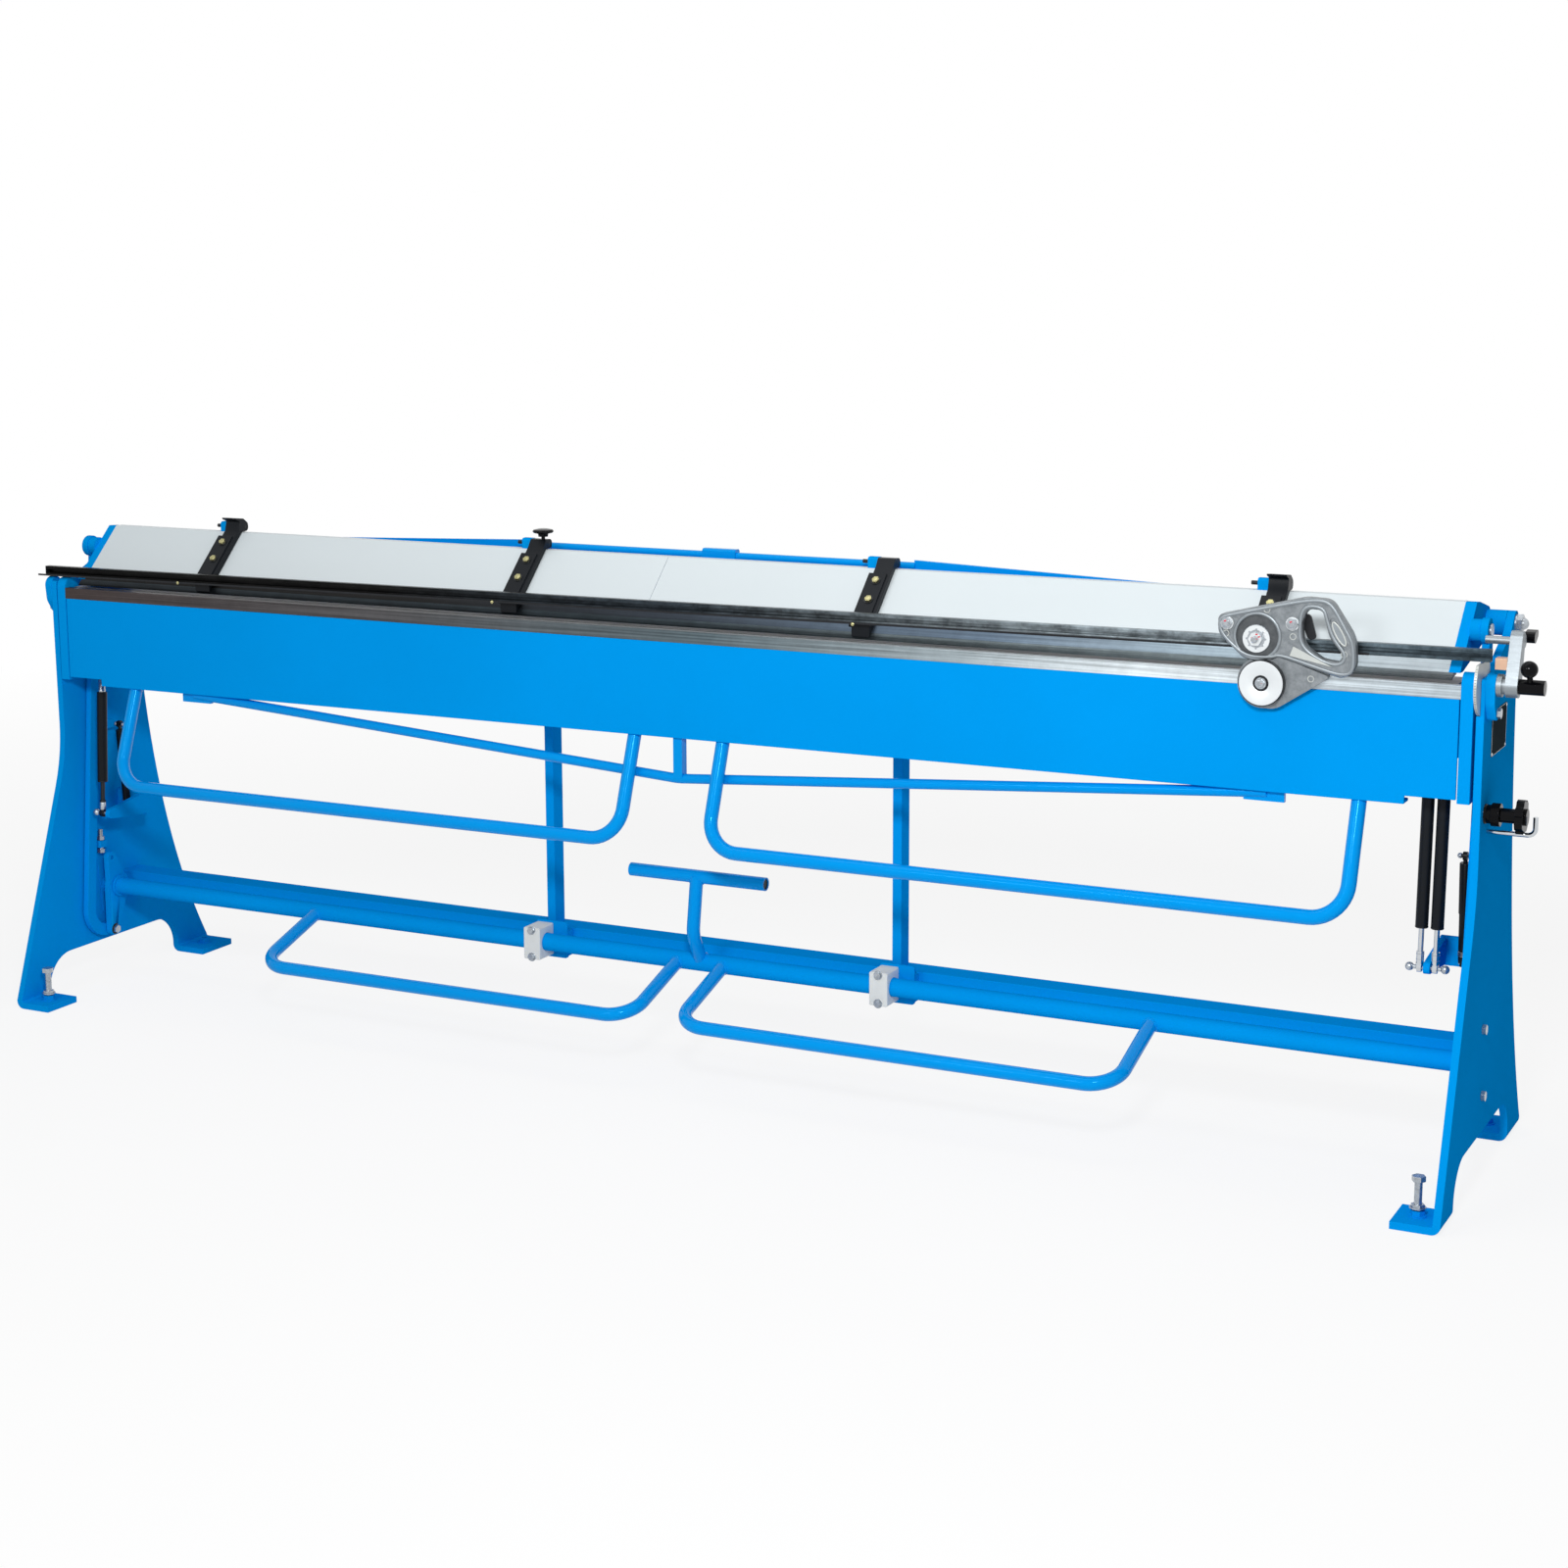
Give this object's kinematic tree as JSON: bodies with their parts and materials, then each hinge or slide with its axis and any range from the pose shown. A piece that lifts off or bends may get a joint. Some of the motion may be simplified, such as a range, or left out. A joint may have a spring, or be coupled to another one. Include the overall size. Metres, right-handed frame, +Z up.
{
  "type": "sheet metal folding machine",
  "caption": "Manual folding machine for long metal sheets, with an opening clamp beam, a swinging folding beam, pedals, gas struts and a roller cutter on a rail.",
  "frame": {"origin": "on the floor, at the middle of the overall length and depth", "axes": "+X to the machine's right-hand end as seen from the front, +Y to the rear, +Z up"},
  "size_m": [3.3389, 0.665, 1.1105],
  "materials": {
    "blue_paint": "gloss",
    "white_paint": "gloss",
    "black_paint": "satin",
    "machined_steel": "brushed",
    "galvanised_steel": "satin",
    "zinc_steel": "satin",
    "yellow_zinc": "satin",
    "chrome_rod": "polished",
    "cast_aluminium": "cast",
    "plate_aluminium": "satin",
    "bare_brass": "satin",
    "white_plastic": "matte",
    "black_plastic": "gloss"
  },
  "bodies": {
    "frame": {"end_plate_left": "blue_paint", "end_plate_right": "blue_paint", "cross_beam": "blue_paint", "support_posts": "blue_paint", "lower_jaw_beam": "blue_paint", "lower_jaw_bar": "machined_steel", "bearing_brackets": "blue_paint", "shaft_bearing_blocks": "white_plastic", "shaft_flange_bearings": "blue_paint", "levelling_bolts": "zinc_steel", "frame_bolts": "zinc_steel", "folding_hinge_blocks": "blue_paint", "clamp_pivot_bolts": "zinc_steel", "strut_brackets": "blue_paint", "lever_stop_screws": "zinc_steel", "data_plate": "plate_aluminium", "angle_dial": "plate_aluminium", "star_knob_base": "cast_aluminium"},
    "clamp_beam": {"clamp_beam_body": "blue_paint", "clamp_cover": "white_paint", "nose_bar": "machined_steel", "clamp_end_plates": "blue_paint", "link_pins": "zinc_steel", "clamp_beam_truss": "blue_paint", "carrier_hinge_blocks": "blue_paint"},
    "rail_carrier": {"rail_brackets": "black_paint", "carrier_bolts": "yellow_zinc", "cutter_rail": "galvanised_steel"},
    "lock_knob": {"rail_lock_knob": "black_plastic"},
    "cutter": {"cutter_housing": "cast_aluminium", "cutter_bolts": "zinc_steel"},
    "upper_roller": {"upper_cutting_roller": "machined_steel"},
    "lower_roller": {"lower_cutting_roller": "machined_steel"},
    "folding_beam": {"folding_apron": "blue_paint", "folding_blade": "machined_steel", "folding_end_brackets": "blue_paint", "folding_truss": "blue_paint", "handle_left": "blue_paint", "handle_right": "blue_paint"},
    "link_right": {"clamp_link_right": "blue_paint"},
    "link_left": {"clamp_link_left": "blue_paint"},
    "pedal_drive": {"pedal_shaft": "blue_paint", "pedal_left": "blue_paint", "pedal_right": "blue_paint", "t_bar": "blue_paint", "shaft_levers": "blue_paint"},
    "strut_rod_right": {"folding_strut_rod_right": "chrome_rod"},
    "strut_cylinder_right": {"folding_strut_cylinder_right": "black_paint"},
    "strut_rod_left": {"folding_strut_rod_left": "chrome_rod"},
    "strut_cylinder_left": {"folding_strut_cylinder_left": "black_paint"},
    "rear_cylinder_right": {"rear_strut_cylinder_right": "black_paint"},
    "rear_rod_right": {"rear_strut_rod_right": "chrome_rod"},
    "rear_cylinder_left": {"rear_strut_cylinder_left": "black_paint"},
    "rear_rod_left": {"rear_strut_rod_left": "chrome_rod"},
    "stop_arm": {"stop_arm": "cast_aluminium", "stop_block": "bare_brass"},
    "stop_grip": {"stop_grip": "black_plastic"},
    "stop_clamp_lever": {"stop_clamp_lever": "black_plastic"},
    "star_wheel": {"star_wheel": "black_plastic"},
    "lock_rod": {"lock_rod": "chrome_rod"}
  },
  "joints": [
    {"name": "clamp_opening", "type": "hinge", "parent": "frame", "child": "clamp_beam", "pos_m": [-0.0285, 0.088, 1.019], "axis": [-1, 0, 0], "range_deg": [0, 20]},
    {"name": "folding", "type": "hinge", "parent": "frame", "child": "folding_beam", "pos_m": [-0.0285, -0.135, 0.941], "axis": [-1, 0, 0], "range_deg": [0, 135]},
    {"name": "carrier_flip", "type": "hinge", "parent": "clamp_beam", "child": "rail_carrier", "pos_m": [-0.0285, 0.006, 1.078], "axis": [-1, 0, 0], "range_deg": [0, 121]},
    {"name": "lock_knob_turn", "type": "hinge", "parent": "rail_carrier", "child": "lock_knob", "pos_m": [-0.4165, -0.008, 1.104], "axis": [0, 0, 1], "continuous": true},
    {"name": "cutter_travel", "type": "slide", "parent": "rail_carrier", "child": "cutter", "axis": [1, 0, 0.0061], "range_m": [-2.7, 0.2]},
    {"name": "upper_roller_spin", "type": "hinge", "parent": "cutter", "child": "upper_roller", "pos_m": [1.1685, -0.16, 1.001], "axis": [0, 1, 0], "continuous": true},
    {"name": "lower_roller_spin", "type": "hinge", "parent": "cutter", "child": "lower_roller", "pos_m": [1.1825, -0.18, 0.923], "axis": [0, 1, 0], "continuous": true},
    {"name": "link_swing_right", "type": "hinge", "parent": "clamp_beam", "child": "link_right", "pos_m": [1.5465, -0.042, 1.0216], "axis": [-1, 0, 0], "range_deg": [-16, 0.5]},
    {"name": "link_swing_left", "type": "hinge", "parent": "clamp_beam", "child": "link_left", "pos_m": [-1.6035, -0.042, 1.0216], "axis": [-1, 0, 0], "range_deg": [-16, 0.5]},
    {"name": "pedal_swing", "type": "hinge", "parent": "frame", "child": "pedal_drive", "pos_m": [-0.0285, -0.027, 0.223], "axis": [-1, 0, 0], "range_deg": [0, 49.5]},
    {"name": "strut_lean_right", "type": "hinge", "parent": "frame", "child": "strut_rod_right", "pos_m": [1.4785, -0.098, 0.412], "axis": [-1, 0, 0], "range_deg": [-20, 1]},
    {"name": "strut_stretch_right", "type": "slide", "parent": "strut_rod_right", "child": "strut_cylinder_right", "axis": [0, 0.0579, 0.9983], "range_m": [0, 0.112]},
    {"name": "strut_lean_left", "type": "hinge", "parent": "frame", "child": "strut_rod_left", "pos_m": [-1.5575, -0.098, 0.412], "axis": [-1, 0, 0], "range_deg": [-20, 1]},
    {"name": "strut_stretch_left", "type": "slide", "parent": "strut_rod_left", "child": "strut_cylinder_left", "axis": [0, 0.0579, 0.9983], "range_m": [0, 0.112]},
    {"name": "rear_strut_lean_right", "type": "hinge", "parent": "frame", "child": "rear_cylinder_right", "pos_m": [1.5185, 0.01, 0.4], "axis": [-1, 0, 0], "range_deg": [-7, 1]},
    {"name": "rear_strut_stretch_right", "type": "slide", "parent": "rear_cylinder_right", "child": "rear_rod_right", "axis": [0, -0.0737, 0.9973], "range_m": [0, 0.05]},
    {"name": "rear_strut_lean_left", "type": "hinge", "parent": "frame", "child": "rear_cylinder_left", "pos_m": [-1.5755, 0.01, 0.4], "axis": [-1, 0, 0], "range_deg": [-7, 1]},
    {"name": "rear_strut_stretch_left", "type": "slide", "parent": "rear_cylinder_left", "child": "rear_rod_left", "axis": [0, -0.0737, 0.9973], "range_m": [0, 0.05]},
    {"name": "stop_arm_swing", "type": "hinge", "parent": "frame", "child": "stop_arm", "pos_m": [1.5965, -0.135, 0.941], "axis": [1, 0, 0], "range_deg": [0, 35]},
    {"name": "stop_grip_turn", "type": "hinge", "parent": "stop_arm", "child": "stop_grip", "pos_m": [1.6465, -0.135, 0.941], "axis": [1, 0, 0], "range_deg": [-30, 30]},
    {"name": "stop_clamp_turn", "type": "hinge", "parent": "stop_arm", "child": "stop_clamp_lever", "pos_m": [1.6215, -0.06, 1.017], "axis": [1, 0, 0], "range_deg": [-60, 30]},
    {"name": "star_wheel_spin", "type": "hinge", "parent": "frame", "child": "star_wheel", "pos_m": [1.6265, -0.112, 0.707], "axis": [1, 0, 0], "continuous": true},
    {"name": "lock_rod_pull", "type": "slide", "parent": "frame", "child": "lock_rod", "axis": [1, 0, 0], "range_m": [0, 0.012]}
  ],
  "couplings": [
    {"joint": "carrier_flip", "follows": "folding", "ratio": 0.89},
    {"joint": "lower_roller_spin", "follows": "upper_roller_spin", "ratio": -0.857},
    {"joint": "link_swing_right", "follows": "clamp_opening", "ratio": -0.75183},
    {"joint": "link_swing_left", "follows": "clamp_opening", "ratio": -0.75183},
    {"joint": "pedal_swing", "follows": "clamp_opening", "ratio": 2.45},
    {"joint": "strut_lean_right", "follows": "folding", "ratio": -0.13107},
    {"joint": "strut_stretch_right", "follows": "folding", "m_per_rad": 0.046889},
    {"joint": "strut_lean_left", "follows": "folding", "ratio": -0.13107},
    {"joint": "strut_stretch_left", "follows": "folding", "m_per_rad": 0.046889},
    {"joint": "rear_strut_lean_right", "follows": "clamp_opening", "ratio": -0.28086},
    {"joint": "rear_strut_stretch_right", "follows": "clamp_opening", "m_per_rad": 0.13118},
    {"joint": "rear_strut_lean_left", "follows": "clamp_opening", "ratio": -0.28086},
    {"joint": "rear_strut_stretch_left", "follows": "clamp_opening", "m_per_rad": 0.13118}
  ]
}
